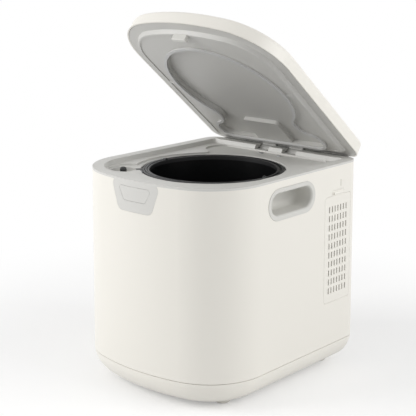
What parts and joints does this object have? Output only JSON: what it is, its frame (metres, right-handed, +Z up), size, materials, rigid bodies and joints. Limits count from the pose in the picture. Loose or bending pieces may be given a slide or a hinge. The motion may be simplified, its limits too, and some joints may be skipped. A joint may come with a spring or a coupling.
{
  "type": "electric food waste composter",
  "caption": "Countertop machine that dries and grinds food scraps in a lift-out bucket under a hinged, latched lid.",
  "frame": {"origin": "on the worktop, under the bucket's axis, at the height of the feet's undersides", "axes": "+Z up, +Y from the front button to the hinge at the back, +X to the right seen from the front"},
  "size_m": [0.2856, 0.3418, 0.5261],
  "materials": {
    "cream_shell": "satin",
    "grey_deck": "satin",
    "grey_liner": "satin",
    "cup_grey": "satin",
    "silicone": "matte",
    "feet_rubber": "matte",
    "rim_grey": "satin",
    "dark_wire": "satin",
    "dark_coating": "satin",
    "well_alloy": "satin",
    "steel": "satin",
    "felt": "matte",
    "cast_alloy": "cast",
    "black_plastic": "matte",
    "white_plastic": "matte",
    "board_green": "matte",
    "bronze": "satin",
    "charcoal_filter": "matte"
  },
  "bodies": {
    "body": {"outer_shell": "cream_shell", "base_pan": "cream_shell", "top_deck": "grey_deck", "handle_cup_right": "cup_grey", "handle_cup_left": "cup_grey", "rubber_feet": "feet_rubber", "heating_well": "well_alloy", "well_insulation": "felt", "heater_plate": "cast_alloy", "heater_element": "steel", "chassis_plate": "steel", "well_pillars": "steel", "gearbox_tray": "black_plastic", "gearbox_cover": "black_plastic", "output_bush": "bronze", "idler_pin": "steel", "gear_motor": "steel", "control_board": "board_green", "lid_switch": "black_plastic", "button_switch": "black_plastic", "power_inlet": "black_plastic", "exhaust_duct": "black_plastic", "fan_housing": "black_plastic", "filter_housing": "white_plastic", "latch_spring": "steel", "plunger_spring": "steel", "hinge_bracket": "steel", "hinge_pin": "steel", "hinge_cover": "black_plastic", "deck_screws": "steel", "base_screws": "steel"},
    "lid": {"lid_shell": "cream_shell", "lid_liner": "grey_liner", "lid_seal": "silicone", "lid_hook": "cup_grey"},
    "bucket": {"bucket": "dark_coating", "bucket_rim": "rim_grey", "bucket_bush": "bronze"},
    "bail": {"bucket_bail": "dark_wire", "bail_grip": "black_plastic"},
    "agitator": {"agitator": "dark_coating"},
    "output_shaft": {"output_gear": "steel"},
    "idler": {"idler_gear": "steel"},
    "pinion": {"motor_pinion": "steel"},
    "fan": {"fan_rotor": "black_plastic"},
    "filter": {"filter_cover": "cream_shell", "filter_cartridge": "charcoal_filter"},
    "button": {"front_button": "grey_deck"},
    "latch": {"latch_slide": "white_plastic"},
    "plunger": {"interlock_plunger": "black_plastic"}
  },
  "joints": [
    {"name": "lid_hinge", "type": "hinge", "parent": "body", "child": "lid", "pos_m": [0, 0.1624, 0.2995], "axis": [-1, 0, 0], "range_deg": [-39.4, 45]},
    {"name": "button_press", "type": "slide", "parent": "body", "child": "button", "axis": [0, 1, 0], "range_m": [0, 0.0035], "stiffness_N_per_m": 300, "springref_m": -0.002, "deforming": ["latch_spring"]},
    {"name": "latch_slide", "type": "slide", "parent": "body", "child": "latch", "axis": [0, 1, 0], "range_m": [0, 0.0035], "deforming": ["latch_spring"]},
    {"name": "plunger_press", "type": "slide", "parent": "body", "child": "plunger", "axis": [0, 0, -1], "range_m": [0, 0.004], "stiffness_N_per_m": 150, "springref_m": -0.002, "deforming": ["plunger_spring"]},
    {"name": "bucket_lift", "type": "slide", "parent": "body", "child": "bucket", "axis": [0, 0, 1], "range_m": [0, 0.04]},
    {"name": "bail_swing", "type": "hinge", "parent": "bucket", "child": "bail", "pos_m": [0, 0, 0.3016], "axis": [-1, 0, 0], "range_deg": [0, 95]},
    {"name": "agitator_spin", "type": "hinge", "parent": "bucket", "child": "agitator", "pos_m": [0, 0, 0.15], "axis": [0, 0, 1], "continuous": true},
    {"name": "output_spin", "type": "hinge", "parent": "body", "child": "output_shaft", "pos_m": [0, 0, 0.1], "axis": [0, 0, 1], "continuous": true},
    {"name": "idler_spin", "type": "hinge", "parent": "body", "child": "idler", "pos_m": [0, 0.0405, 0.095], "axis": [0, 0, 1], "continuous": true},
    {"name": "pinion_spin", "type": "hinge", "parent": "body", "child": "pinion", "pos_m": [0, 0.0705, 0.09], "axis": [0, 0, 1], "continuous": true},
    {"name": "fan_spin", "type": "hinge", "parent": "body", "child": "fan", "pos_m": [0.048, 0.124, 0.2], "axis": [0, 1, 0], "continuous": true},
    {"name": "filter_pull", "type": "slide", "parent": "body", "child": "filter", "axis": [1, 0, 0], "range_m": [0, 0.05]}
  ],
  "couplings": [
    {"joint": "latch_slide", "follows": "button_press", "ratio": 1},
    {"joint": "output_spin", "follows": "agitator_spin", "ratio": 1},
    {"joint": "idler_spin", "follows": "agitator_spin", "ratio": -2.8571},
    {"joint": "pinion_spin", "follows": "agitator_spin", "ratio": 5.7143}
  ]
}
